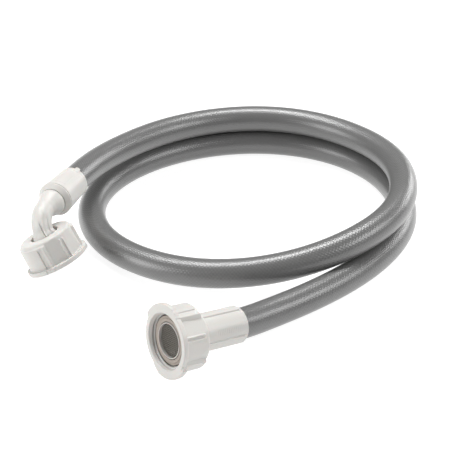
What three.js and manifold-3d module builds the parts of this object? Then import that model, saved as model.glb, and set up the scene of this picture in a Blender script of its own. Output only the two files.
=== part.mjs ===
// Washing-machine supply hose: a braided grey PVC hose with a straight G3/4 union nut at the tap end and a
// 90 degree elbow with a second union nut at the machine end. Millimetres, +Z up, lying on the plane Z = 0.
import * as THREE from 'three';
import { mergeVertices } from 'three/addons/utils/BufferGeometryUtils.js';
import { NURBSCurve } from 'three/addons/curves/NURBSCurve.js';
import Module from 'manifold-3d';

const wasm = await Module();
wasm.setup();

// ---- Driving dimensions -------------------------------------------------------------------------------

const clearance = 0.3;            // between pieces that touch on the real hose

const hose = {
  outerR: 7.5,                    // 15 mm outside
  boreR: 5,                       // 10 mm inside
  skinWall: 1,
  braidWall: 0.4,
  sides: 10,
  steps: 48,
};

const thread = {                  // G3/4, internal
  majorR: 13.22,
  minorR: 12.06,
  pitch: 1.814,
  length: 9.6,
};

const nut = {
  height: 16,
  bodyR: 14.4,
  backR: 13.8,                    // the body tapers towards the hose
  flangeR: 16,
  lobeR: 17.8,
  flangeThickness: 2.4,
  mouthR: 13.5,
  reliefR: 13.2,
  seatR: 12.2,
  backWall: 2.8,
  backHoleR: 7.6,
  sectorR: 15.5,                  // two raised sectors of the side, behind the flange's lobes
  sectorLength: 12.2,
};

const seal = { outerR: 11.6, innerR: 8.9, thickness: 2.5 };
const filter = { ringOuterR: 8.6, ringInnerR: 8.1, meshR: 7.85, meshThickness: 0.5, meshDepth: 0.9 };

const spigot = {                  // barbed tail that the hose is pushed onto
  rootR: 3.9,
  barbR: 4.4,
  boreR: 3,
  barbs: 4,
  neckR: 6.9,
  flangeR: 11.5,
  flangeThickness: 2.7,
};

// Stations along the tap fitting's axis, from the mouth of its ferrule towards the mouth of its nut.
const tapEnd = { hoseDepth: 21, ferrule: 25.4, nutBack: 25.8, sealFace: 36.6 };
// Stations along the elbow's hose axis, from the mouth of its ferrule towards the elbow.
const elbowEnd = { hoseDepth: 17, ferrule: 20.8, collar: 24, corner: 43.5 };
// Stations along the elbow's outlet axis, from the corner where the two axes cross.
const outlet = { nutBack: 9.3, sealFace: 17 };

const ferrule = { innerR: 7.85, tapR: 8.6, ribR: 9.3, mouthR: 8.25, collarR: 9.2, endWall: 1.5 };
const elbow = { bendR: 11, tubeR: 5.1, shoulderR: 7, boreR: 3.2, neckThroughCollarR: 5.4 };

// Centre line of the free hose, from the tap ferrule's mouth to the elbow ferrule's mouth: control points of a
// clamped uniform cubic B-spline. The first two and the last two lie on the fittings' axes.
const routePoints = [
  [52.6, -34, 10.25], [57.4, -30.6, 9.15], [65.7, -23.5, 7.8], [84.1, -11.3, 7.5], [110.5, 9.5, 7.5],
  [133.5, 37, 7.5], [146, 68.5, 7.5], [143.5, 102.5, 7.5], [126, 132, 7.5], [97, 151, 7.5],
  [62, 156.5, 7.5], [27, 149, 7.5], [-3.5, 130, 7.5], [-24.5, 101.5, 7.5], [-29, 69, 7.5],
  [-16.5, 38, 8], [10.5, 15.5, 9], [44, 4.5, 11.2], [80, 5.5, 16.1], [111.5, 18, 21.8],
  [135.5, 41, 24.8], [145, 71, 25.3], [141.5, 103, 24.8], [123.5, 131, 23.6], [96.5, 150.5, 23],
  [64, 157, 22.8], [31.5, 150, 23], [4, 132, 24.4], [-17.5, 105.5, 26.6], [-28, 85.5, 28.7],
  [-31.9, 75.1, 29.4], [-34.7, 67.3, 29.8],
].map(([x, y, z]) => new THREE.Vector3(x, y, z));

// ---- Materials ----------------------------------------------------------------------------------------

const material = (colour, roughness, metalness = 0) => (
  new THREE.MeshStandardMaterial({ color: colour, roughness, metalness }));

const whitePlastic = material(0xe9e7e2, 0.45);
const greyPvc = material(0x77787a, 0.4);
const polyester = material(0xdedcd2, 0.7);
const clearPvc = material(0xc9c9c4, 0.35);
const beigeRubber = material(0xb9aa9c, 0.7);
const stainless = material(0x8d8a84, 0.4, 0.9);

// ---- Geometry helpers ---------------------------------------------------------------------------------

const radians = THREE.MathUtils.degToRad;

function toSolid(geometry) {
  const bare = geometry.clone();
  bare.deleteAttribute('normal');
  bare.deleteAttribute('uv');
  const merged = mergeVertices(bare, 1e-4);
  return new wasm.Manifold(new wasm.Mesh({
    numProp: 3,
    vertProperties: new Float32Array(merged.attributes.position.array),
    triVerts: new Uint32Array(merged.index.array),
  }));
}

function toGeometry(solid) {
  const mesh = solid.getMesh();
  const geometry = new THREE.BufferGeometry();
  geometry.setAttribute('position', new THREE.BufferAttribute(mesh.vertProperties, 3));
  geometry.setIndex(new THREE.BufferAttribute(mesh.triVerts, 1));
  geometry.computeVertexNormals();
  return geometry;
}

// Turns a closed outline of [radius, height] pairs, listed anticlockwise, about the Z axis.
function turned(outline, segments = 24) {
  const points = [...outline, outline[0]].map(([r, z]) => new THREE.Vector2(r, z));
  return new THREE.LatheGeometry(points, segments).rotateX(Math.PI / 2);
}

function rod(radius, from, to, segments = 24) {
  return turned([[0, from], [radius, from], [radius, to], [0, to]], segments);
}

function ring(innerR, outerR, from, to, segments = 24) {
  return turned([[innerR, from], [outerR, from], [outerR, to], [innerR, to]], segments);
}

function join(...geometries) {
  return geometries.map(toSolid).reduce((whole, piece) => whole.add(piece));
}

function cut(solid, ...geometries) {
  return geometries.map(toSolid).reduce((rest, piece) => rest.subtract(piece), solid);
}

function piece(name, shape, look) {
  const geometry = shape.isBufferGeometry ? shape : toGeometry(shape);
  const mesh = new THREE.Mesh(geometry, look);
  mesh.name = name;
  return mesh;
}

// ---- The hose's route and the fittings' axes ------------------------------------------------------------

function clampedSpline(points) {
  const degree = 3;
  const spans = points.length - degree;
  const inner = Array.from({ length: spans - 1 }, (_, i) => (i + 1) / spans);
  const knots = [0, 0, 0, 0, ...inner, 1, 1, 1, 1];
  return new NURBSCurve(degree, knots, points.map((p) => new THREE.Vector4(p.x, p.y, p.z, 1)));
}

function direction(from, to) {
  return to.clone().sub(from).normalize();
}

const tapMouth = routePoints[0];
const tapAxis = direction(routePoints[1], routePoints[0]);
const elbowMouth = routePoints.at(-1);
const elbowAxis = direction(routePoints.at(-2), routePoints.at(-1));
const outletHint = new THREE.Vector3(0.425, -0.19, -0.885);
const outletAxis = outletHint.clone().addScaledVector(elbowAxis, -outletHint.dot(elbowAxis)).normalize();
const along = (start, axis, distance) => start.clone().addScaledVector(axis, distance);

const route = new THREE.CurvePath();
route.add(new THREE.LineCurve3(along(tapMouth, tapAxis, tapEnd.hoseDepth), tapMouth));
route.add(clampedSpline(routePoints));
route.add(new THREE.LineCurve3(elbowMouth, along(elbowMouth, elbowAxis, elbowEnd.hoseDepth)));

// A group whose +Z is the given axis and whose +X leans as far up as it can.
function fittingFrame(origin, axis) {
  const up = new THREE.Vector3(0, 0, 1);
  const x = up.addScaledVector(axis, -axis.z).normalize();
  const y = axis.clone().cross(x);
  const group = new THREE.Group();
  group.quaternion.setFromRotationMatrix(new THREE.Matrix4().makeBasis(x, y, axis));
  group.position.copy(origin);
  return group;
}

// ---- Hose ---------------------------------------------------------------------------------------------

function polygon(radius) {
  return Array.from({ length: hose.sides }, (_, i) => {
    const angle = (2 * Math.PI * i) / hose.sides;
    return new THREE.Vector2(radius * Math.cos(angle), radius * Math.sin(angle));
  });
}

function hoseLayer(name, outerR, innerR, look) {
  const section = new THREE.Shape(polygon(outerR));
  section.holes.push(new THREE.Path(polygon(innerR)));
  const geometry = new THREE.ExtrudeGeometry(section, { steps: hose.steps, extrudePath: route });
  return piece(name, geometry, look);
}

function hoseLayers() {
  const skinInner = hose.outerR - hose.skinWall;
  const braidOuter = skinInner - clearance;
  const braidInner = braidOuter - hose.braidWall;
  return [
    hoseLayer('hose_skin', hose.outerR, skinInner, greyPvc),
    hoseLayer('hose_braid', braidOuter, braidInner, polyester),
    hoseLayer('hose_liner', braidInner - clearance, hose.boreR, clearPvc),
  ];
}

// ---- Union nut: +Z out of its mouth, mouth face at Z = 0 ------------------------------------------------

// The core that the internal thread leaves free: its radius follows the thread's V round and along.
function threadCore() {
  const rowsPerTurn = 3;
  const rows = Math.round((thread.length / thread.pitch) * rowsPerTurn);
  const core = new THREE.CylinderGeometry(1, 1, thread.length, 20, rows).rotateX(Math.PI / 2);
  core.translate(0, 0, -thread.length / 2 - 0.4);
  const at = core.attributes.position;
  for (let i = 0; i < at.count; i += 1) {
    const x = at.getX(i);
    const y = at.getY(i);
    if (Math.hypot(x, y) > 0.5) {
      const turns = at.getZ(i) / thread.pitch - Math.atan2(y, x) / (2 * Math.PI);
      const phase = turns - Math.floor(turns);
      const depth = 1 - Math.abs(2 * phase - 1);
      const r = thread.minorR + (thread.majorR - thread.minorR) * depth;
      at.setXY(i, x * r, y * r);
    }
  }
  return core;
}

// A plate whose edge lies at outerR over two opposite sectors of 86 degrees, and at innerR between them.
function twoSectors(outerR, innerR, from, depth) {
  const outline = new THREE.Shape();
  for (const start of [0, 180]) {
    outline.absarc(0, 0, outerR, radians(start + 3), radians(start + 89));
    outline.absarc(0, 0, innerR, radians(start + 92), radians(start + 178));
  }
  return new THREE.ExtrudeGeometry(outline, { depth, bevelEnabled: false, curveSegments: 8 })
    .translate(0, 0, from);
}

// A pair of fine ribs in the middle of each of the two lower stretches of the side.
function nutGrips() {
  const grips = [];
  const fine = { width: 0.8, proud: 0.6, length: 10.5, middle: 139.5, halfGap: 4 };
  for (const turn of [0, 180]) {
    for (const side of [-1, 1]) {
      grips.push(new THREE.BoxGeometry(2 * fine.proud + 0.8, fine.width, fine.length)
        .translate(nut.bodyR - 0.4, 0, -nut.flangeThickness - fine.length / 2 + 0.5)
        .rotateZ(radians(turn + fine.middle + side * fine.halfGap)));
    }
  }
  return grips;
}

function unionNut() {
  const back = -nut.height;
  const bevel = 1.2;
  const body = turned([
    [0, back], [nut.backR - bevel, back], [nut.backR, back + bevel], [nut.bodyR, -nut.flangeThickness],
    [nut.bodyR, -0.2], [0, -0.2]], 32);
  const flange = twoSectors(nut.lobeR, nut.flangeR, -nut.flangeThickness, nut.flangeThickness);
  const sectorFrom = -nut.flangeThickness - nut.sectorLength;
  const sectors = twoSectors(nut.sectorR, nut.backR - 0.5, sectorFrom, nut.sectorLength + 0.5);
  const solid = join(body, flange, sectors, ...nutGrips());
  const seatTop = -thread.length - 0.4;
  const seatBottom = back + nut.backWall;
  return cut(
    solid,
    threadCore(),
    turned([[0, -1.2], [thread.minorR + 0.1, -1.2], [nut.mouthR, 0.02], [nut.mouthR, 1], [0, 1]]),
    rod(nut.reliefR, seatTop - 1.6, seatTop + 0.02),
    rod(nut.seatR, seatBottom, seatTop - 1.5),
    rod(nut.backHoleR, back - 1, seatBottom + 0.1),
  );
}

// ---- Spigot with barbs: +Z towards the sealing flange ---------------------------------------------------

// Outline from the cut end of the spigot up to the given shoulder station, as [radius, z] pairs.
function barbOutline(tip, last) {
  const pitch = (last - tip) / spigot.barbs;
  const outline = [[spigot.boreR, tip], [spigot.rootR, tip]];
  for (let i = 0; i < spigot.barbs; i += 1) {
    const start = tip + i * pitch;
    outline.push([spigot.barbR, start + pitch * 0.7], [spigot.rootR, start + pitch * 0.75]);
  }
  return outline;
}

function tapTail() {
  const shoulder = tapEnd.hoseDepth + clearance;
  const flangeBack = tapEnd.sealFace - spigot.flangeThickness;
  return turned([
    ...barbOutline(2, shoulder - 1),
    [spigot.rootR, shoulder], [spigot.neckR, shoulder], [spigot.neckR, flangeBack],
    [spigot.flangeR, flangeBack], [spigot.flangeR, tapEnd.sealFace], [spigot.boreR, tapEnd.sealFace]]);
}

// ---- Tap end ------------------------------------------------------------------------------------------

function tapFerrule() {
  const length = tapEnd.ferrule;
  const wallEnd = length - ferrule.endWall;
  const neck = spigot.neckR + clearance;
  const sleeve = turned([
    [ferrule.innerR, 0], [ferrule.tapR, 0], [ferrule.tapR, length], [neck, length],
    [neck, wallEnd], [ferrule.innerR, wallEnd]], 32);
  const rib = (angle) => new THREE.BoxGeometry(2, 5, length - 2)
    .translate(ferrule.ribR - 1, 0, length / 2)
    .rotateZ(radians(angle));
  const ribbed = join(sleeve, rib(11), rib(131), rib(251));
  return cut(ribbed, rod(ferrule.innerR, -1, wallEnd, 32), rod(neck, wallEnd - 0.1, length + 1, 32));
}

function tapFitting() {
  const frame = fittingFrame(tapMouth, tapAxis);
  const sealFront = tapEnd.sealFace + clearance + seal.thickness;
  const ringFront = sealFront + 0.3;
  const sealBack = tapEnd.sealFace + clearance;
  const meshFront = sealFront - filter.meshDepth;
  const nutMesh = piece('tap_nut', unionNut(), whitePlastic);
  nutMesh.position.z = tapEnd.nutBack + nut.height;
  nutMesh.rotation.z = radians(-19);
  frame.add(
    nutMesh,
    piece('tap_washer', ring(seal.innerR, seal.outerR, sealBack, sealFront), beigeRubber),
    piece('filter_ring', ring(filter.ringInnerR, filter.ringOuterR, sealBack, ringFront), whitePlastic),
    piece('filter_mesh', rod(filter.meshR, meshFront - filter.meshThickness, meshFront), stainless),
    piece('tap_tail', tapTail(), whitePlastic),
    piece('tap_ferrule', tapFerrule(), whitePlastic),
  );
  return frame;
}

// ---- Elbow end ----------------------------------------------------------------------------------------

function elbowFerrule() {
  const length = elbowEnd.ferrule;
  const wallEnd = length - ferrule.endWall;
  const neck = elbow.neckThroughCollarR + clearance;
  const sleeve = turned([
    [ferrule.innerR, 0], [ferrule.mouthR, 0], [ferrule.collarR, length], [neck, length],
    [neck, wallEnd], [ferrule.innerR, wallEnd]], 32);
  const lugs = [70, 160, 250, 340].map((angle) => new THREE.BoxGeometry(0.7, 2.4, 4)
    .translate(ferrule.innerR + 0.45, 0, 0.6)
    .rotateZ(radians(angle)));
  return join(sleeve, ...lugs);
}

function elbowCollar() {
  const from = elbowEnd.ferrule + clearance;
  const bore = elbow.neckThroughCollarR + clearance;
  return turned([
    [bore, from], [ferrule.collarR, from], [ferrule.collarR, from + 0.8],
    [elbow.shoulderR + 0.2, elbowEnd.collar], [bore, elbowEnd.collar]], 32);
}

// The bend's centre line: from the hose axis (+Z) round into the outlet axis.
function bendPoints(outletDirection) {
  const pieces = 6;
  const centre = new THREE.Vector3(0, 0, elbowEnd.corner - elbow.bendR)
    .addScaledVector(outletDirection, elbow.bendR);
  return Array.from({ length: pieces + 1 }, (_, i) => {
    const turn = (Math.PI / 2) * (i / pieces);
    return centre.clone()
      .addScaledVector(outletDirection, -elbow.bendR * Math.cos(turn))
      .add(new THREE.Vector3(0, 0, elbow.bendR * Math.sin(turn)));
  });
}

function sweptRod(radius, points, sides) {
  const angles = Array.from({ length: sides }, (_, i) => (2 * Math.PI * i) / sides);
  const section = new THREE.Shape(
    angles.map((a) => new THREE.Vector2(radius * Math.cos(a), radius * Math.sin(a))));
  const path = new THREE.CatmullRomCurve3(points);
  return new THREE.ExtrudeGeometry(section, { steps: 8, extrudePath: path });
}

function elbowBody(outletLocal) {
  const shoulder = elbowEnd.hoseDepth + clearance;
  const points = bendPoints(outletLocal);
  const bendStart = elbowEnd.corner - elbow.bendR;
  const shoulderFrom = elbowEnd.collar + clearance;
  const inlet = turned([
    [0, 2], ...barbOutline(2, shoulder - 1).slice(1),
    [spigot.rootR, shoulder], [elbow.neckThroughCollarR, shoulder],
    [elbow.neckThroughCollarR, shoulderFrom], [elbow.shoulderR, shoulderFrom],
    [elbow.shoulderR, shoulderFrom + 2], [6.6, shoulderFrom + 4.5], [5.7, shoulderFrom + 6.5],
    [elbow.tubeR, bendStart + 0.5], [0, bendStart + 0.5]]);
  const flangeBack = outlet.sealFace - spigot.flangeThickness;
  const spout = turned([
    [0, elbow.bendR - 2], [elbow.tubeR, elbow.bendR - 2], [spigot.neckR, elbow.bendR + 0.4],
    [spigot.neckR, flangeBack], [spigot.flangeR, flangeBack], [spigot.flangeR, outlet.sealFace],
    [0, outlet.sealFace]]);
  const outletTurn = new THREE.Quaternion().setFromUnitVectors(new THREE.Vector3(0, 0, 1), outletLocal);
  const toOutlet = (geometry) => geometry.applyQuaternion(outletTurn).translate(0, 0, elbowEnd.corner);
  const longer = [
    points[0].clone().add(new THREE.Vector3(0, 0, -1)), ...points,
    points.at(-1).clone().addScaledVector(outletLocal, 1)];
  return cut(
    join(inlet, sweptRod(elbow.tubeR, longer, 20), toOutlet(spout)),
    rod(spigot.boreR, 1, bendStart - 0.5),
    sweptRod(elbow.boreR, longer, 12),
    toOutlet(rod(elbow.boreR, elbow.bendR + 0.5, outlet.sealFace + 1)),
  );
}

function elbowFitting() {
  const frame = fittingFrame(elbowMouth, elbowAxis);
  const outletLocal = outletAxis.clone().applyQuaternion(frame.quaternion.clone().invert());
  frame.add(
    piece('elbow_ferrule', elbowFerrule(), whitePlastic),
    piece('elbow_collar', elbowCollar(), whitePlastic),
    piece('elbow_body', elbowBody(outletLocal), whitePlastic),
  );
  const outletFrame = fittingFrame(along(elbowMouth, elbowAxis, elbowEnd.corner), outletAxis);
  const sealBack = outlet.sealFace + clearance;
  const nutMesh = piece('elbow_nut', unionNut(), whitePlastic);
  nutMesh.position.z = outlet.nutBack + nut.height;
  nutMesh.rotation.z = radians(61.5);
  outletFrame.add(
    nutMesh,
    piece('elbow_washer', ring(seal.innerR, seal.outerR, sealBack, sealBack + seal.thickness), beigeRubber),
  );
  return [frame, outletFrame];
}

// ---- The whole supply hose --------------------------------------------------------------------------

const supplyHose = new THREE.Group();
supplyHose.add(...hoseLayers(), tapFitting(), ...elbowFitting());

export default supplyHose;
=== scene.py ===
"""The looks of a washing-machine supply hose lying in just over one and a half turns, round its CAD frame.

The scene is in metres. A fitting's outlines are in millimetres and degrees in that fitting's own frame, whose
+Z runs along its axis, out of the hose, and whose +X leans up as far as it can.
"""
import math

import bpy
import numpy as np
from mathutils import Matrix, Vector


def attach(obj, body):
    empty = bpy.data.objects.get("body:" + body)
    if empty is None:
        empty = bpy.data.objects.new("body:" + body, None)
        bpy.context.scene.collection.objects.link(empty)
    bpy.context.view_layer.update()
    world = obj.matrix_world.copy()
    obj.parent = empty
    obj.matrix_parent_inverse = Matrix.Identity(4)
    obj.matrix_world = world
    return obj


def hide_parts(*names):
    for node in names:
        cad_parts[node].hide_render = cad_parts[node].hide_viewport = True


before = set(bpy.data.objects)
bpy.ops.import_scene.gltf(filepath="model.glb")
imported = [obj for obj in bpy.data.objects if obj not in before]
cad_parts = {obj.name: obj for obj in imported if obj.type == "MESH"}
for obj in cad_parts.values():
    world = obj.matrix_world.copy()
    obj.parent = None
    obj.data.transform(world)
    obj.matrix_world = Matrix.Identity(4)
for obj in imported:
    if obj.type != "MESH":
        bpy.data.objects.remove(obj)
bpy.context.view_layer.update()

MM = 0.001

# ---- Driving dimensions, as in the CAD part -------------------------------------------------------------

GAP = 0.3                         # between neighbouring pieces

HOSE_R, SKIN_INNER_R = 7.5, 6.5
BRAID_R, LINER_R, BORE_R = 6.2, 5.5, 5.0

NUT_HEIGHT = 16
NUT_BODY_R, NUT_BACK_R, NUT_FLANGE_R, NUT_LOBE_R = 14.4, 13.8, 16, 17.8
NUT_FLANGE_THICKNESS, NUT_MOUTH_R, NUT_RELIEF_R, NUT_SEAT_R = 2.4, 13.6, 13.2, 12.2
NUT_BACK_WALL, NUT_HOLE_R = 2.8, 7.6
NUT_SECTOR_R, NUT_PANEL = 15.5, 13.7   # the side's raised sectors, and from the axis to its flat panels
THREAD_MAJOR_R, THREAD_MINOR_R, THREAD_PITCH, THREAD_LENGTH = 13.22, 12.06, 1.814, 9.6

SPIGOT_ROOT_R, SPIGOT_BARB_R, SPIGOT_BORE_R, SPIGOT_NECK_R = 3.9, 4.4, 3, 6.9
SPIGOT_FLANGE_R, SPIGOT_FLANGE_THICKNESS = 11.5, 2.7

TAP_HOSE_DEPTH, TAP_FERRULE, TAP_NUT_BACK, TAP_SEAL_FACE = 21, 25.4, 25.8, 36.6
ELBOW_HOSE_DEPTH, ELBOW_FERRULE, ELBOW_COLLAR, ELBOW_CORNER = 17, 20.8, 24, 43.5
OUTLET_NUT_BACK, OUTLET_SEAL_FACE = 9.3, 17
BEND_R, ELBOW_TUBE_R, ELBOW_SHOULDER_R, ELBOW_BORE_R, ELBOW_NECK_R = 11, 5.15, 7, 3.2, 5.4

FERRULE_INNER_R, TAP_FERRULE_R, FERRULE_RIB_R = 7.85, 8.6, 9.3
ELBOW_FERRULE_R, COLLAR_R, FERRULE_END_WALL = 8.25, 9.2, 1.5

SEAL_OUTER_R, SEAL_INNER_R, SEAL_THICKNESS = 11.6, 8.9, 2.5
FILTER_RING_R, FILTER_RING_INNER_R, GAUZE_R = 8.6, 8.1, 7.9

# ---- Only in the looks ---------------------------------------------------------------------------------

CARRIERS, CROSSING = 24, 1.8      # yarns each way round the braid, and the spacing of their crossings

# In the nuts: the machine end's slimmer lobes and sectors, the tapered mouth in front of the full thread, and
# a dimple on each lobe, placed from its sector's first edge and from the axis.
MACHINE_LOBE_R, MACHINE_SECTOR_R = 16.6, 14.9
LEAD_IN_R, LEAD_IN_END_R, LEAD_IN_DEPTH = 13.3, 12.4, 2.2
DIMPLE_TURN, DIMPLE_R = 88.5, 16.6

# ---- Route of the hose, as in the CAD part --------------------------------------------------------------

# The free hose's centre line: a clamped uniform cubic B-spline through these control points, in metres.
ROUTE = [
    (0.0526, -0.034, 0.01025), (0.0574, -0.0306, 0.00915), (0.0657, -0.0235, 0.0078),
    (0.0841, -0.0113, 0.0075), (0.1105, 0.0095, 0.0075), (0.1335, 0.037, 0.0075), (0.146, 0.0685, 0.0075),
    (0.1435, 0.1025, 0.0075), (0.126, 0.132, 0.0075), (0.097, 0.151, 0.0075), (0.062, 0.1565, 0.0075),
    (0.027, 0.149, 0.0075), (-0.0035, 0.13, 0.0075), (-0.0245, 0.1015, 0.0075), (-0.029, 0.069, 0.0075),
    (-0.0165, 0.038, 0.008), (0.0105, 0.0155, 0.009), (0.044, 0.0045, 0.0112), (0.08, 0.0055, 0.0161),
    (0.1115, 0.018, 0.0218), (0.1355, 0.041, 0.0248), (0.145, 0.071, 0.0253), (0.1415, 0.103, 0.0248),
    (0.1235, 0.131, 0.0236), (0.0965, 0.1505, 0.023), (0.064, 0.157, 0.0228), (0.0315, 0.15, 0.023),
    (0.004, 0.132, 0.0244), (-0.0175, 0.1055, 0.0266), (-0.028, 0.0855, 0.0287), (-0.0319, 0.0751, 0.0294),
    (-0.0347, 0.0673, 0.0298),
]
OUTLET_HINT = (0.425, -0.19, -0.885)   # roughly where the elbow's outlet points, before it is made square
TAP_NUT_SPIN, ELBOW_NUT_SPIN = -19, 61.5   # how far each nut stands turned, in degrees

# ---- Small mathematics --------------------------------------------------------------------------------


def unit(vector):
    return np.asarray(vector, float) / np.linalg.norm(vector)


def ramp(value, start, end):
    """0 before start, 1 after end, and smooth between them."""
    t = np.clip((value - start) / (end - start), 0, 1)
    return t * t * (3 - 2 * t)


def plateau(offset, half_width, edge):
    """1 where offset is within half_width of 0, falling to 0 over the edge's width."""
    return 1 - ramp(np.abs(offset), half_width - edge / 2, half_width + edge / 2)


def around(turn, centre):
    """How many degrees turn lies past centre, from -180 to 180."""
    return (turn - centre + 180) % 360 - 180


def spline_points(control, count):
    """Points of the clamped uniform cubic B-spline, evenly spaced in its parameter."""
    control = np.array(control)
    spans = len(control) - 3
    knots = np.concatenate([[0] * 3, np.arange(spans + 1), [spans] * 3]).astype(float)
    at = np.linspace(0, spans - 1e-9, count)
    basis = [((low <= at) & (at < high)).astype(float) for low, high in zip(knots, knots[1:])]
    for degree in (1, 2, 3):
        for i in range(len(basis) - 1):
            rise = knots[i + degree] - knots[i]
            fall = knots[i + degree + 1] - knots[i + 1]
            up = (at - knots[i]) / rise * basis[i] if rise else 0
            down = (knots[i + degree + 1] - at) / fall * basis[i + 1] if fall else 0
            basis[i] = up + down
        basis.pop()
    return np.stack(basis, axis=1) @ control


def evenly(points, count):
    """The polyline resampled to count points, evenly spaced along it, and its length."""
    steps = np.linalg.norm(np.diff(points, axis=0), axis=1)
    reached = np.concatenate([[0], np.cumsum(steps)])
    at = np.linspace(0, reached[-1], count)
    return np.stack([np.interp(at, reached, points[:, k]) for k in range(3)], axis=1), reached[-1]


# ---- Frames of the two fittings -------------------------------------------------------------------------


def fitting_frame(origin, axis, spin=0, lean=(0, 0, 1)):
    """The matrix from millimetres in a fitting's own frame to metres in the scene: +X leans towards lean."""
    z = unit(axis)
    x = unit(np.array(lean) - z * (z @ np.array(lean)))
    y = np.cross(z, x)
    turn = math.radians(spin)
    matrix = np.identity(4)
    matrix[:3, 0] = (x * math.cos(turn) + y * math.sin(turn)) * MM
    matrix[:3, 1] = (y * math.cos(turn) - x * math.sin(turn)) * MM
    matrix[:3, 2] = z * MM
    matrix[:3, 3] = origin
    return matrix


tap_mouth, elbow_mouth = np.array(ROUTE[0]), np.array(ROUTE[-1])
tap_axis = unit(tap_mouth - np.array(ROUTE[1]))
elbow_axis = unit(elbow_mouth - np.array(ROUTE[-2]))
outlet_axis = unit(np.array(OUTLET_HINT) - elbow_axis * (elbow_axis @ np.array(OUTLET_HINT)))
corner = elbow_mouth + elbow_axis * ELBOW_CORNER * MM

tap_frame = fitting_frame(tap_mouth, tap_axis)
elbow_frame = fitting_frame(elbow_mouth, elbow_axis)
bend_frame = fitting_frame(elbow_mouth, elbow_axis, lean=outlet_axis)
outlet_frame = fitting_frame(corner, outlet_axis)
tap_nut_frame = fitting_frame(
    tap_mouth + tap_axis * (TAP_NUT_BACK + NUT_HEIGHT) * MM, tap_axis, TAP_NUT_SPIN)
elbow_nut_frame = fitting_frame(
    corner + outlet_axis * (OUTLET_NUT_BACK + NUT_HEIGHT) * MM, outlet_axis, ELBOW_NUT_SPIN)

# ---- Meshes -------------------------------------------------------------------------------------------


def new_object(name, points, faces, material):
    mesh = bpy.data.meshes.new(name)
    mesh.from_pydata(points.tolist(), [], [list(face) for face in faces])
    mesh.shade_smooth()
    mesh.materials.append(material)
    obj = bpy.data.objects.new(name, mesh)
    bpy.context.scene.collection.objects.link(obj)
    return obj


def facing_out(points, faces):
    """The quads, turned over if they enclose a negative volume."""
    a, b, c, d = (points[faces[:, k]] for k in range(4))
    volume = np.einsum("ij,ij->", a, np.cross(b, c)) + np.einsum("ij,ij->", a, np.cross(c, d))
    return faces if volume > 0 else faces[:, ::-1]


def ring_object(name, rings, material):
    """A closed surface through rings of points: each ring closes, and the last ring meets the first."""
    rows, columns = rings.shape[:2]
    index = np.arange(rows * columns).reshape(rows, columns)
    beside = np.roll(index, -1, axis=1)
    faces = np.stack([index, beside, np.roll(beside, -1, axis=0), np.roll(index, -1, axis=0)], axis=-1)
    points = rings.reshape(-1, 3)
    return new_object(name, points, facing_out(points, faces.reshape(-1, 4)), material)


def placed(rings, matrix):
    return rings @ matrix[:3, :3].T + matrix[:3, 3]


def outline_points(corners):
    """The (r, z) points of a closed outline. A corner is (r, z), (r, z, fillet) or (r, z, fillet, step).

    Each corner is rounded off. The stretch after it gets a point every step, and one near each end to keep
    it flat."""
    usual, arc_steps, support = (0.2, 3.0), 4, 0.2
    corners = [(*given, *usual[len(given) - 2:]) for given in corners]
    arcs = []
    for i, (r, z, fillet, _) in enumerate(corners):
        at = np.array((r, z))
        back = np.array(corners[i - 1][:2]) - at
        ahead = np.array(corners[(i + 1) % len(corners)][:2]) - at
        room = 0.45 * min(np.linalg.norm(back), np.linalg.norm(ahead))
        back, ahead = unit(back), unit(ahead)
        reach = min(fillet / math.tan(math.acos(np.clip(back @ ahead, -1, 1)) / 2), room)
        t = np.linspace(0, 1, arc_steps + 1)[:, None]
        arcs.append(at + back * reach * (1 - t) ** 2 + ahead * reach * t ** 2)
    points = []
    for (*_, step), arc, following in zip(corners, arcs, arcs[1:] + arcs[:1]):
        points.extend(arc)
        length = np.linalg.norm(following[0] - arc[-1])
        if length > 3 * support:
            parts = math.ceil(length / step)
            stops = {support, length - support, *(length * k / parts for k in range(1, parts))}
            points.extend(arc[-1] + (following[0] - arc[-1]) * stop / length for stop in sorted(stops))
    return np.array(points)


def crowded(count, centres=(), half_width=0, times=1):
    """Angles all the way round, set closer together, by that many times, within half_width of each centre."""
    fine = np.arange(0, 360, 0.05)
    near = np.zeros(len(fine), bool)
    for centre in centres:
        near |= np.abs(around(fine, centre)) < half_width
    reached = np.cumsum(np.where(near, times, 1))
    return np.interp(np.arange(count) / count * reached[-1], reached, fine)


def turned(corners, turns, relief=None):
    """Rings of the closed outline turned about Z. relief(turn, r, z) gives each point's own r and z."""
    points = outline_points(corners)
    r, turn = np.meshgrid(points[:, 0], turns, indexing="ij")
    z = np.repeat(points[:, 1:], len(turns), axis=1)
    if relief:
        r, z = relief(turn, r, z)
    angle = np.radians(turn)
    return np.stack([r * np.cos(angle), r * np.sin(angle), z], axis=-1)


# ---- Materials ----------------------------------------------------------------------------------------


def shader(name, **values):
    """A material, and its Principled shader with those sockets set."""
    material = bpy.data.materials.new(name)
    material.use_nodes = True
    principled = material.node_tree.nodes["Principled BSDF"]
    for socket, value in values.items():
        principled.inputs[socket.replace("_", " ")].default_value = value
    return material, principled


def node(material, kind, inputs=None, **settings):
    """Adds a node, sets its own properties, and gives each input its value or links an output to it."""
    made = material.node_tree.nodes.new("ShaderNode" + kind)
    for key, value in settings.items():
        setattr(made, key, value)
    for key, value in (inputs or {}).items():
        if isinstance(value, bpy.types.NodeSocket):
            material.node_tree.links.new(value, made.inputs[key])
        else:
            made.inputs[key].default_value = value
    return made


def noise(material, per_metre, detail=2):
    """A noise pattern in the piece's own coordinates, with features about 1 / per_metre across."""
    where = node(material, "TexCoord").outputs["Object"]
    made = node(material, "TexNoise", {"Vector": where, "Scale": per_metre, "Detail": detail})
    return made.outputs["Fac"]


def spread(material, fac, low, high):
    """Maps 0..1 onto low..high."""
    return node(material, "MapRange", {"Value": fac, "To Min": low, "To Max": high}).outputs["Result"]


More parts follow.
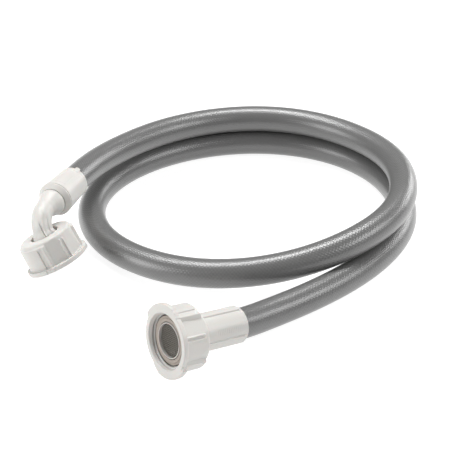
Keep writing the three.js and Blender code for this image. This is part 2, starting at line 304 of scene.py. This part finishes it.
def blended(material, fac, first, second):
    mix = node(material, "Mix", data_type="RGBA")
    material.node_tree.links.new(fac, mix.inputs["Factor"])
    mix.inputs["A"].default_value = (*first, 1)
    mix.inputs["B"].default_value = (*second, 1)
    return mix.outputs["Result"]


def finish_surface(material, principled, colour, roughness, height, distance):
    """Links the colour, the roughness and a bump of that height in metres."""
    link = material.node_tree.links.new
    bump = node(material, "Bump", {"Height": height, "Distance": distance, "Strength": 1.0})
    link(colour, principled.inputs["Base Color"])
    link(roughness, principled.inputs["Roughness"])
    link(bump.outputs["Normal"], principled.inputs["Normal"])
    return material


def math_node(material, operation, first, second=0.0):
    return node(material, "Math", {0: first, 1: second}, operation=operation).outputs[0]


def lattice(material, times_round, per_metre):
    """0..1 bumps where two sets of helical yarns cross, from a UV map of turns round and metres along."""
    where = node(material, "TexCoord").outputs["UV"]
    parts = node(material, "SeparateXYZ", {"Vector": where}).outputs
    waves = [
        math_node(material, "COSINE", math_node(material, "MULTIPLY", parts[axis], 2 * math.pi * frequency))
        for axis, frequency in (("X", times_round), ("Y", per_metre))]
    product = math_node(material, "MULTIPLY", *waves)
    return math_node(material, "MULTIPLY", math_node(material, "ADD", product, 1.0), 0.5)


def grey_pvc():
    """Soft PVC: even grey, faintly clouded and glossy, with the braid under it showing as a fine lattice."""
    material, principled = shader("grey_pvc", IOR=1.53, Coat_Weight=0.6, Coat_Roughness=0.3)
    crossings = lattice(material, CARRIERS, 1000 / CROSSING)
    clouds = noise(material, 90, 4)
    shade = math_node(material, "MULTIPLY", math_node(material, "ADD", clouds, crossings), 0.5)
    colour = blended(material, shade, (0.088, 0.088, 0.087), (0.125, 0.125, 0.123))
    roughness = spread(material, noise(material, 700), 0.27, 0.32)
    uneven = spread(material, noise(material, 120, 2), 0.0, 0.3)
    height = math_node(material, "ADD", crossings, uneven)
    return finish_surface(material, principled, colour, roughness, height, 0.00011)


def white_plastic():
    """Moulded polypropylene: warm off-white, slightly see-through at its edges, with a fine satin grain."""
    material, principled = shader("white_plastic", IOR=1.49, Subsurface_Weight=0.12, Subsurface_Scale=0.0015)
    clouds = noise(material, 60, 3)
    colour = blended(material, clouds, (0.490, 0.478, 0.455), (0.540, 0.528, 0.505))
    roughness = spread(material, noise(material, 900), 0.36, 0.50)
    return finish_surface(material, principled, colour, roughness, noise(material, 1600, 3), 0.00003)


def beige_rubber():
    """A pressed rubber washer: matt, speckled and slightly rough."""
    material, principled = shader("beige_rubber", IOR=1.5)
    specks = noise(material, 1800, 4)
    colour = blended(material, specks, (0.25, 0.215, 0.185), (0.36, 0.315, 0.275))
    roughness = spread(material, specks, 0.62, 0.80)
    return finish_surface(material, principled, colour, roughness, noise(material, 2500, 3), 0.00005)


def steel_wire():
    material, principled = shader("steel_wire", Metallic=0.85)
    tarnish = noise(material, 400, 3)
    colour = blended(material, tarnish, (0.15, 0.138, 0.122), (0.26, 0.245, 0.22))
    roughness = spread(material, tarnish, 0.32, 0.5)
    return finish_surface(material, principled, colour, roughness, noise(material, 4000), 0.00001)


def braid_yarn():
    """Pale polyester yarn with a fine fibrous grain."""
    material, principled = shader("braid_yarn", Sheen_Weight=0.3)
    fibres = noise(material, 2500, 4)
    colour = blended(material, fibres, (0.62, 0.60, 0.54), (0.80, 0.78, 0.72))
    roughness = spread(material, fibres, 0.6, 0.8)
    return finish_surface(material, principled, colour, roughness, fibres, 0.00008)


def clear_pvc():
    material, principled = shader("clear_pvc", IOR=1.53)
    clouds = noise(material, 80, 3)
    colour = blended(material, clouds, (0.52, 0.52, 0.50), (0.62, 0.62, 0.59))
    roughness = spread(material, noise(material, 600), 0.28, 0.4)
    return finish_surface(material, principled, colour, roughness, clouds, 0.00003)


PVC, PLASTIC, RUBBER = grey_pvc(), white_plastic(), beige_rubber()
STEEL, YARN, CLEAR = steel_wire(), braid_yarn(), clear_pvc()

# ---- Camera, floor and lights -----------------------------------------------------------------------------


def make_camera():
    data = bpy.data.cameras.new("camera")
    data.sensor_width, data.lens = 36, 98.72
    camera = bpy.data.objects.new("camera", data)
    camera.location = (0.0465, -0.505, 0.36)
    camera.rotation_euler = (math.radians(58), 0, 0)
    bpy.context.scene.collection.objects.link(camera)
    bpy.context.scene.camera = camera


def make_floor():
    material, principled = shader("floor", Roughness=0.9, Emission_Strength=0.85)
    principled.inputs["Base Color"].default_value = (0.35, 0.35, 0.35, 1)
    principled.inputs["Emission Color"].default_value = (1, 1, 1, 1)
    size = 6
    corners = np.array([(-size, -size, 0), (size, -size, 0), (size, size, 0), (-size, size, 0)])
    new_object("floor", corners, np.array([[0, 1, 2, 3]]), material)


def softbox(name, location, size, power):
    """A rectangular lamp of that width and height, facing the middle of the hose."""
    data = bpy.data.lights.new(name, "AREA")
    data.shape, data.energy = "RECTANGLE", power
    data.size, data.size_y = size
    light = bpy.data.objects.new(name, data)
    light.location = location
    light.rotation_euler = (Vector((0.05, 0.05, 0)) - Vector(location)).to_track_quat("-Z", "Y").to_euler()
    bpy.context.scene.collection.objects.link(light)


def make_lights():
    softbox("back_softbox", (-0.1, 0.55, 1.35), (1.2, 0.3), 24)
    softbox("right_softbox", (1.3, 1.1, 0.5), (1.0, 0.4), 9)
    softbox("front_right_softbox", (1.15, -0.3, 0.78), (0.8, 0.4), 8)
    softbox("left_fill", (-1.2, -0.45, 0.45), (0.8, 0.7), 11)
    world = bpy.data.worlds.new("studio")
    world.use_nodes = True
    background = world.node_tree.nodes["Background"]
    background.inputs["Color"].default_value = (1, 1, 1, 1)
    background.inputs["Strength"].default_value = 0.3
    bpy.context.scene.world = world
    bpy.context.scene.view_settings.view_transform = "Standard"


make_camera()
make_floor()
make_lights()

# ---- Hose ---------------------------------------------------------------------------------------------

tap_cut = tap_mouth + tap_axis * TAP_HOSE_DEPTH * MM
elbow_cut = elbow_mouth + elbow_axis * ELBOW_HOSE_DEPTH * MM
hose_line = np.concatenate([[tap_cut], spline_points(ROUTE, 6000), [elbow_cut]])
_, hose_length = evenly(hose_line, 2)


def tube_rings(rows, columns, radius):
    """Rings about the hose's centre line. radius(turn, station) is in millimetres and degrees."""
    centres, length = evenly(hose_line, rows)
    tangent = np.gradient(centres, axis=0)
    tangent /= np.linalg.norm(tangent, axis=1, keepdims=True)
    side = np.cross(tangent, (0, 0, 1))
    side /= np.linalg.norm(side, axis=1, keepdims=True)
    rise = np.cross(side, tangent)
    turn, station = np.meshgrid(np.arange(columns) * 360 / columns, np.linspace(0, length / MM, rows))
    angle = np.radians(turn)[..., None]
    out = side[:, None] * np.cos(angle) + rise[:, None] * np.sin(angle)
    return centres[:, None] + out * (radius(turn, station) * MM)[..., None]


def tube_object(name, outer, inner, material):
    """A tube with its wall: the outer rings one way and the inner rings back."""
    return ring_object(name, np.concatenate([outer, inner[::-1]]), material)


def map_along(tube, rows, columns):
    """Gives the tube's outside a UV map: U counts once round, and V is the station along it in metres."""
    count = len(tube.data.loops)
    corner_vertex = np.empty(count, int)
    tube.data.loops.foreach_get("vertex_index", corner_vertex)
    row, column = np.divmod(corner_vertex.reshape(-1, 4), columns)
    wraps = column.max(axis=1, keepdims=True) - column.min(axis=1, keepdims=True) > 1
    u = (column + np.where(wraps & (column == 0), columns, 0)) / columns
    v = np.minimum(row, rows - 1) * hose_length / (rows - 1)
    tube.data.uv_layers.new(name="along").uv.foreach_set("vector", np.stack([u, v], axis=-1).ravel())


def smooth_radius(radius):
    return lambda turn, station: np.full(turn.shape, float(radius))


def make_hose():
    columns, fine_rows, plain_rows = 48, 1000, 320
    inner = tube_rings(plain_rows, columns, smooth_radius(SKIN_INNER_R))
    skin = tube_object("hose_jacket", tube_rings(fine_rows, columns, smooth_radius(HOSE_R)), inner, PVC)
    map_along(skin, fine_rows, columns)
    braid = tube_object(
        "yarn_braid",
        tube_rings(plain_rows, columns, smooth_radius(BRAID_R)),
        tube_rings(plain_rows, columns, smooth_radius(LINER_R + GAP)), YARN)
    liner = tube_object(
        "inner_tube",
        tube_rings(plain_rows, columns, smooth_radius(LINER_R)),
        tube_rings(plain_rows, columns, smooth_radius(BORE_R)), CLEAR)
    pieces = [
        (skin, "hose_skin", "grey_pvc"), (braid, "hose_braid", "polyester_yarn"),
        (liner, "hose_liner", "clear_pvc")]
    for piece, cad_node, slot in pieces:
        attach(piece, "root")
        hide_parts(cad_node)


make_hose()

# ---- Union nuts -----------------------------------------------------------------------------------------

HALVES = (0, 180)                 # where each of the two raised sectors of the nut's side begins


def nut_side(turn, r, z, sector_r):
    """The radius of the nut's side: two raised sectors of 90 degrees stand between pairs of flat panels.

    Each sector has an oval recess next to its first edge. The panels of a pair meet under two fine ribs."""
    for start in HALVES:
        offset = around(turn, start)
        for middle in (-22, -64):
            chord = NUT_PANEL / np.cos(np.radians(np.clip(offset - middle, -21, 21)))
            panel = plateau(offset - middle, 21, 0.1) * ramp(z, -15.4, -14.6)
            r = r + panel * np.minimum(0, chord - r)
        length = ramp(z, -14.7, -13.9)
        sector = ramp(offset, -5.5, -1) * ramp(-offset, -94.5, -90)
        crest = 0.35 * plateau(offset - 0.6, 1.4, 1.6) + 0.25 * plateau(offset - 88.5, 2, 1.5)
        recess = 0.55 * plateau(offset - 9, 4.5, 1.6) * ramp(z, -13.6, -12.6)
        raised = sector_r + crest - recess
        r = r + sector * length * np.maximum(0, raised - r)
        for side in (-3.8, 3.8):
            across = np.radians(offset + 41 + side) * NUT_BODY_R
            r = r + 0.65 * plateau(across, 0.4, 0.4) * ramp(z, -13.4, -12.9)
    return r


def nut_flange(turn, lobe_r):
    """The radius of the flange: a lobe over each raised sector, notched by that sector's recess."""
    radius = np.full(turn.shape, float(NUT_FLANGE_R))
    for start in HALVES:
        offset = around(turn, start)
        radius += (lobe_r - NUT_FLANGE_R) * ramp(offset, -1, 9) * ramp(-offset, -92.5, -88)
        radius += 0.4 * plateau(offset, 1.6, 1.6) - 0.4 * plateau(offset - 9, 4.5, 1.6)
    return radius


def nut_relief(turn, r, z, lobe_r, sector_r):
    """The shape of the side, the lobes of the flange with its two dimples, and the thread inside."""
    outside = r > NUT_MOUTH_R + 0.1
    share = np.clip((r - NUT_BODY_R) / (NUT_FLANGE_R - NUT_BODY_R), 0, 1)
    behind = z < -0.1
    inner = np.where(behind, nut_side(turn, np.minimum(r, NUT_BODY_R), z, sector_r), NUT_BODY_R)
    spread_out = inner + share * (nut_flange(turn, lobe_r) - inner)
    moved = np.where(share > 0, spread_out, np.where(behind, inner, r))
    phase = (z / THREAD_PITCH - turn / 360) % 1
    groove = THREAD_MINOR_R + (THREAD_MAJOR_R - THREAD_MINOR_R) * (1 - np.abs(2 * phase - 1))
    threaded = ~outside & (z > -THREAD_LENGTH - 0.4)
    new_r = np.where(outside, moved, np.where(threaded, np.maximum(r, groove), r))
    for start in HALVES:
        across = np.radians(around(turn, start + DIMPLE_TURN)) * DIMPLE_R
        off_centre = np.hypot(new_r - DIMPLE_R, across)
        z = z - 0.35 * ramp(-off_centre, -0.9, -0.3) * (z > -0.2)
    return new_r, z


def add_piece(name, rings, matrix, material, body, cad_node):
    piece = ring_object(name, placed(rings, matrix), material)
    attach(piece, body)
    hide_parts(cad_node)
    return piece


def make_nut(name, matrix, body, cad_node, lobe_r, sector_r):
    def relief(turn, r, z):
        return nut_relief(turn, r, z, lobe_r, sector_r)

    seat_top = -THREAD_LENGTH - 0.4
    seat_bottom = -NUT_HEIGHT + NUT_BACK_WALL
    outline = [
        (NUT_HOLE_R, -NUT_HEIGHT, 0.3), (NUT_BACK_R, -NUT_HEIGHT, 1.4, 0.35),
        (NUT_BODY_R, -NUT_FLANGE_THICKNESS, 0.4, 0.4), (NUT_FLANGE_R, -NUT_FLANGE_THICKNESS, 0.4),
        (NUT_FLANGE_R, 0, 0.5, 0.35), (NUT_MOUTH_R, 0, 0.12, 0.12), (LEAD_IN_R, -0.3, 0, 0.16),
        (LEAD_IN_END_R, -LEAD_IN_DEPTH, 0, 0.22), (THREAD_MINOR_R, -LEAD_IN_DEPTH - 0.2, 0, 0.22),
        (THREAD_MINOR_R, seat_top, 0.1), (NUT_RELIEF_R, seat_top), (NUT_RELIEF_R, seat_top - 1.5),
        (NUT_SEAT_R, seat_top - 1.6, 0.1), (NUT_SEAT_R, seat_bottom), (NUT_HOLE_R, seat_bottom, 0.3)]
    busy = [start + centre for start in HALVES for centre in (-1, 12, 90, 139)]
    turns = crowded(400, busy, half_width=8, times=4)
    add_piece(name, turned(outline, turns, relief), matrix, PLASTIC, body, cad_node)


make_nut("tap_union_nut", tap_nut_frame, "tap_nut", "tap_nut", NUT_LOBE_R, NUT_SECTOR_R)
make_nut("machine_union_nut", elbow_nut_frame, "elbow_nut", "elbow_nut", MACHINE_LOBE_R, MACHINE_SECTOR_R)

# ---- Tap end ------------------------------------------------------------------------------------------

FERRULE_RIBS = (11, 131, 251)
TICK_CENTRE, TICK_SPACING = 292, 1.05


def tap_ferrule_relief(turn, r, z):
    """Broad ribs along the sleeve, a finely ticked panel between two of them, and two lines round the rim."""
    outside = r > TAP_FERRULE_R - 0.4
    ribs = sum(plateau(np.radians(around(turn, centre)) * TAP_FERRULE_R, 2.5, 0.5) for centre in FERRULE_RIBS)
    ribs *= ramp(z, 0.8, 1.6) * ramp(-z, 0.6 - TAP_FERRULE, 1.4 - TAP_FERRULE)
    ticks = (0.5 + 0.5 * np.cos(2 * np.pi * z / TICK_SPACING)) * plateau(around(turn, TICK_CENTRE), 9, 4)
    ticks *= plateau(z - 10.5, 7.5, 1)
    lines = (plateau(z - 0.95, 0.15, 0.25) + plateau(z - 2.0, 0.15, 0.25)) * (1 - ribs)
    change = ribs * (FERRULE_RIB_R - TAP_FERRULE_R) - 0.14 * ticks - 0.12 * lines
    return r + np.where(outside, change, 0), z


def barbs(tip, last):
    """The corners of four barbs, from the spigot's cut end to where its smooth root begins."""
    pitch = (last - tip) / 4
    corners = [(SPIGOT_ROOT_R, tip, 0.3)]
    for start in tip + pitch * np.arange(4):
        corners += [(SPIGOT_BARB_R, start + pitch * 0.7, 0.1), (SPIGOT_ROOT_R, start + pitch * 0.75, 0.1)]
    return corners


def make_gauze():
    """Woven wire cloth in a round frame: every wire runs over and under the ones it crosses."""
    pitch, wire_r, sides, per_pitch = 0.62, 0.15, 6, 4
    level = TAP_SEAL_FACE + GAP + SEAL_THICKNESS - 1.15
    points, faces = [], []
    count = int(GAUZE_R / pitch)
    for direction in (0, 1):
        for k in range(-count, count + 1):
            half_chord = math.sqrt(GAUZE_R ** 2 - (k * pitch) ** 2)
            steps = max(4, round(2 * half_chord / pitch * per_pitch))
            along = np.linspace(-half_chord, half_chord, steps)
            wave = wire_r * np.cos(np.pi * along / pitch) * (-1) ** (k + direction)
            sag = -0.5 * (1 - (along ** 2 + (k * pitch) ** 2) / GAUZE_R ** 2)
            angle = np.arange(sides) * 2 * np.pi / sides
            across = k * pitch + np.cos(angle) * wire_r + np.zeros((steps, 1))
            height = level + (wave + sag)[:, None] + np.sin(angle) * wire_r
            run = np.repeat(along[:, None], sides, axis=1)
            ring = np.stack([across, run, height] if direction else [run, across, height], axis=-1)
            first = sum(len(part) for part in points)
            index = first + np.arange(steps * sides).reshape(steps, sides)
            beside = np.roll(index, -1, axis=1)
            tube = np.stack([index[:-1], beside[:-1], beside[1:], index[1:]], axis=-1).reshape(-1, 4)
            points.append(ring.reshape(-1, 3))
            faces += [*tube.tolist(), index[0, ::-1].tolist(), index[-1].tolist()]
    piece = new_object("filter_gauze", placed(np.concatenate(points), tap_frame), faces, STEEL)
    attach(piece, "root")
    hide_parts("filter_mesh")


def seal_outline(back):
    """A flat washer with a low raised land round its hole."""
    front = back + SEAL_THICKNESS
    return [
        (SEAL_INNER_R, back), (SEAL_OUTER_R, back, 0.3), (SEAL_OUTER_R, front - 0.35, 0.3),
        (10.5, front - 0.3, 0.15), (10.35, front, 0.15), (SEAL_INNER_R, front, 0.2)]


def make_tap_end():
    plain = crowded(96)
    wall_end = TAP_FERRULE - FERRULE_END_WALL
    neck = SPIGOT_NECK_R + GAP
    rib_edges = [centre + side for centre in FERRULE_RIBS for side in (-17, 17)]
    ferrule = [
        (FERRULE_INNER_R, 0, 0.15), (TAP_FERRULE_R, 0, 0.25, 0.25), (TAP_FERRULE_R, TAP_FERRULE, 0.4),
        (neck, TAP_FERRULE, 0.2), (neck, wall_end), (FERRULE_INNER_R, wall_end)]
    turns = crowded(150, rib_edges, half_width=4, times=4)
    add_piece("tap_sleeve", turned(ferrule, turns, tap_ferrule_relief), tap_frame, PLASTIC, "root",
              "tap_ferrule")
    shoulder = TAP_HOSE_DEPTH + GAP
    flange_back = TAP_SEAL_FACE - SPIGOT_FLANGE_THICKNESS
    tail = [
        (SPIGOT_BORE_R, 2), *barbs(2, shoulder - 1), (SPIGOT_ROOT_R, shoulder), (SPIGOT_NECK_R, shoulder),
        (SPIGOT_NECK_R, flange_back), (SPIGOT_FLANGE_R, flange_back), (SPIGOT_FLANGE_R, TAP_SEAL_FACE),
        (SPIGOT_BORE_R, TAP_SEAL_FACE, 0.4)]
    add_piece("tap_barbed_tail", turned(tail, plain), tap_frame, PLASTIC, "root", "tap_tail")
    seal_back = TAP_SEAL_FACE + GAP
    add_piece("tap_flat_seal", turned(seal_outline(seal_back), plain), tap_frame, RUBBER, "root",
              "tap_washer")
    ring_front = seal_back + SEAL_THICKNESS + 0.3
    rim = [
        (FILTER_RING_INNER_R, seal_back, 0.1), (FILTER_RING_R, seal_back, 0.1),
        (FILTER_RING_R, ring_front - 0.5), (FILTER_RING_R - 0.15, ring_front),
        (FILTER_RING_INNER_R, ring_front, 0.1)]
    add_piece("filter_rim", turned(rim, plain), tap_frame, PLASTIC, "root", "filter_ring")
    make_gauze()


make_tap_end()

# ---- Elbow end ----------------------------------------------------------------------------------------

LUGS = (70, 160, 250, 340)


def elbow_ferrule_relief(turn, r, z):
    """Four lugs standing past the rim, a line behind it, and a long panel raised very slightly."""
    outside = r > FERRULE_INNER_R + 0.2
    lugs = sum(plateau(np.radians(around(turn, centre)) * ELBOW_FERRULE_R, 1.3, 0.4) for centre in LUGS)
    band = plateau(z - 2.0, 0.15, 0.2) * (1 - lugs)
    panel = plateau(around(turn, -8), 22, 2) * plateau(z - 10.5, 7.5, 0.4)
    change = 0.35 * lugs * ramp(-z, -3.0, -2.4) - 0.12 * band + 0.12 * panel
    return r + np.where(outside, change, 0), z - 1.2 * lugs * ramp(-z, -0.6, 0)


SLOT, FLUTE = 154, 117            # round the elbow's outlet leg, in degrees from the inside of its bend


def elbow_relief(turn, r, z):
    """A broad shallow flute along the outlet leg, and a narrow slot that drifts as the leg bends."""
    leg = z - (ELBOW_CORNER - BEND_R)
    outside = (r > ELBOW_BORE_R + 0.8) & (leg > 4)
    flute = plateau(around(turn, FLUTE), 18, 8) * plateau(leg - 13, 5, 3)
    drift = SLOT - 2.6 * (leg - 11.3)
    slot = plateau(np.radians(around(turn, drift)) * ELBOW_TUBE_R, 0.22, 0.16) * plateau(leg - 14.2, 3.2, 0.5)
    return r - np.where(outside, 0.6 * slot + 0.7 * flute, 0), z


def bent(rings, start, radius):
    """Bends rings that run along +Z a quarter turn towards +X, from z = start on."""
    x, y, z = np.moveaxis(rings, -1, 0)
    angle = np.clip((z - start) / radius, 0, np.pi / 2)
    beyond = z - start - radius * angle
    return np.stack([
        radius * (1 - np.cos(angle)) + x * np.cos(angle) + beyond * np.sin(angle), y,
        start + radius * np.sin(angle) - x * np.sin(angle) + beyond * np.cos(angle)], axis=-1)


def make_elbow_end():
    plain = crowded(96)
    wall_end = ELBOW_FERRULE - FERRULE_END_WALL
    bore = ELBOW_NECK_R + GAP
    ferrule = [
        (FERRULE_INNER_R, 0, 0.1), (ELBOW_FERRULE_R, 0, 0.15, 0.3), (COLLAR_R, ELBOW_FERRULE, 0.25),
        (bore, ELBOW_FERRULE), (bore, wall_end), (FERRULE_INNER_R, wall_end)]
    turns = crowded(150, LUGS, half_width=12, times=3)
    add_piece("elbow_sleeve", turned(ferrule, turns, elbow_ferrule_relief), elbow_frame, PLASTIC, "root",
              "elbow_ferrule")
    collar_from = ELBOW_FERRULE + GAP
    collar = [
        (bore, collar_from), (COLLAR_R, collar_from, 0.25), (COLLAR_R, collar_from + 0.8, 0.5),
        (ELBOW_SHOULDER_R + 0.2, ELBOW_COLLAR, 0.25), (bore, ELBOW_COLLAR)]
    add_piece("elbow_cone", turned(collar, plain), elbow_frame, PLASTIC, "root",
              "elbow_collar")
    bend_start = ELBOW_CORNER - BEND_R
    bend_end = bend_start + BEND_R * math.pi / 2
    shoulder_from = ELBOW_COLLAR + GAP
    flange_back = bend_end + OUTLET_SEAL_FACE - BEND_R - SPIGOT_FLANGE_THICKNESS
    seal_face = flange_back + SPIGOT_FLANGE_THICKNESS
    hose_end = ELBOW_HOSE_DEPTH + GAP
    body = [
        (SPIGOT_BORE_R, 2), *barbs(2, hose_end - 1), (SPIGOT_ROOT_R, hose_end), (ELBOW_NECK_R, hose_end),
        (ELBOW_NECK_R, shoulder_from), (ELBOW_SHOULDER_R, shoulder_from, 0.3),
        (ELBOW_SHOULDER_R, shoulder_from + 2, 1.5, 0.8), (5.6, shoulder_from + 6.5, 2.5, 0.8),
        (ELBOW_TUBE_R, bend_start + 1, 2.0, 0.8), (ELBOW_TUBE_R + 0.1, bend_end - 3, 2.0, 0.6),
        (SPIGOT_NECK_R, bend_end + 0.4, 0.4, 0.6),
        (SPIGOT_NECK_R, flange_back), (SPIGOT_FLANGE_R, flange_back), (SPIGOT_FLANGE_R, seal_face),
        (ELBOW_BORE_R, seal_face, 0.4, 0.8), (ELBOW_BORE_R, shoulder_from, 0.5)]
    turns = crowded(140, (SLOT - 6, FLUTE), half_width=24, times=3)
    rings = bent(turned(body, turns, elbow_relief), bend_start, BEND_R)
    add_piece("elbow_bend", rings, bend_frame, PLASTIC, "root", "elbow_body")
    seal = seal_outline(OUTLET_SEAL_FACE + GAP)
    add_piece("machine_flat_seal", turned(seal, plain), outlet_frame, RUBBER, "root",
              "elbow_washer")


make_elbow_end()
